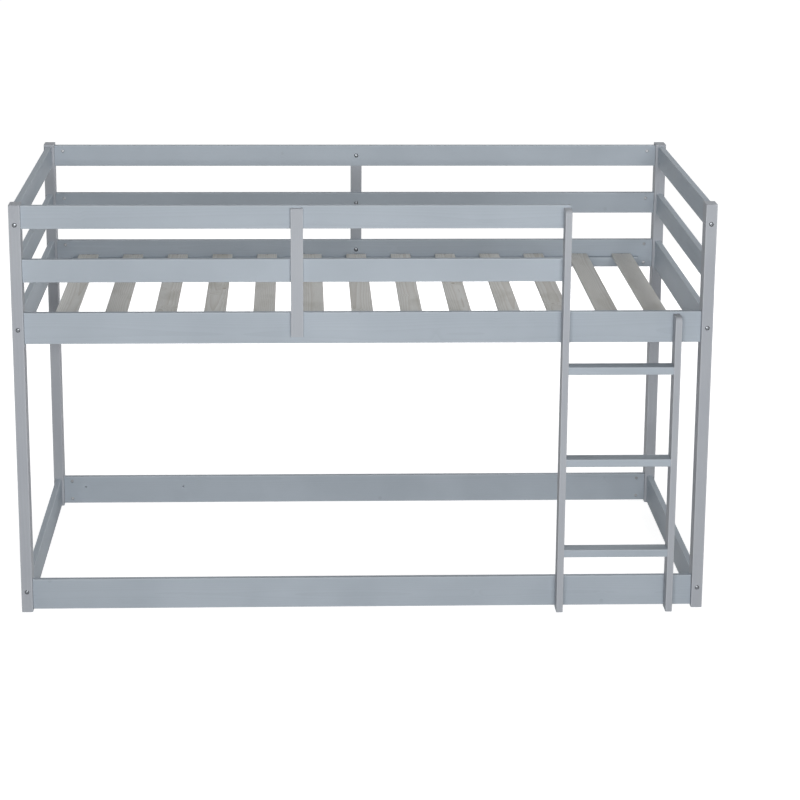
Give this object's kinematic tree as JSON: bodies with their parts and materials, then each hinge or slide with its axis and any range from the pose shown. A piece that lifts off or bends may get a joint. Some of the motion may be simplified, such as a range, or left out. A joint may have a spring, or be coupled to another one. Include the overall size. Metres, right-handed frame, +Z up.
{
  "type": "bunk bed",
  "caption": "Low floor bunk bed in painted pine with slatted upper bunk, guard rails and a fixed ladder",
  "frame": {"origin": "on the floor under the centre of the bed's box, ladder included", "axes": "+X along the bed with the ladder near its +X end, -Y the ladder side, +Z up"},
  "size_m": [1.98, 1.1104, 1.196],
  "materials": {
    "painted_pine": "satin grey-blue paint",
    "bare_slat_wood": "planed, unpainted",
    "beech_dowel": "raw, fluted",
    "zinc_plated_steel": "zinc plated",
    "screw_steel": "zinc plated"
  },
  "bodies": {
    "root": {"post_front_left": "painted_pine", "post_front_right": "painted_pine", "post_back_left": "painted_pine", "post_back_right": "painted_pine", "lower_rail_front": "painted_pine", "lower_rail_back": "painted_pine", "bed_rail_front": "painted_pine", "bed_rail_back": "painted_pine", "guard_rail_front_top": "painted_pine", "guard_rail_front_mid": "painted_pine", "guard_rail_back_top": "painted_pine", "guard_rail_back_mid": "painted_pine", "end_rail_left_top": "painted_pine", "end_rail_left_mid": "painted_pine", "end_rail_left_bed": "painted_pine", "end_rail_left_lower": "painted_pine", "end_rail_right_top": "painted_pine", "end_rail_right_mid": "painted_pine", "end_rail_right_bed": "painted_pine", "end_rail_right_lower": "painted_pine", "ladder_stile_long": "painted_pine", "ladder_stile_short": "painted_pine", "rung_1": "painted_pine", "rung_2": "painted_pine", "rung_3": "painted_pine", "guard_stile_front": "painted_pine", "guard_stile_back": "painted_pine", "slat_ledge_front": "painted_pine", "slat_ledge_back": "painted_pine", "slat_01": "bare_slat_wood", "slat_02": "bare_slat_wood", "slat_03": "bare_slat_wood", "slat_04": "bare_slat_wood", "slat_05": "bare_slat_wood", "slat_06": "bare_slat_wood", "slat_07": "bare_slat_wood", "slat_08": "bare_slat_wood", "slat_09": "bare_slat_wood", "slat_10": "bare_slat_wood", "slat_11": "bare_slat_wood", "slat_12": "bare_slat_wood", "slat_13": "bare_slat_wood", "dowels": "beech_dowel", "side_rail_bolts": "zinc_plated_steel", "end_rail_bolts": "zinc_plated_steel", "side_rail_barrel_nuts": "zinc_plated_steel", "end_rail_barrel_nuts": "zinc_plated_steel", "guard_stile_bolts": "zinc_plated_steel", "guard_stile_inserts": "zinc_plated_steel", "ladder_screws": "screw_steel", "rung_screws": "screw_steel", "ledge_screws": "screw_steel", "slat_screws": "screw_steel"}
  },
  "joints": []
}
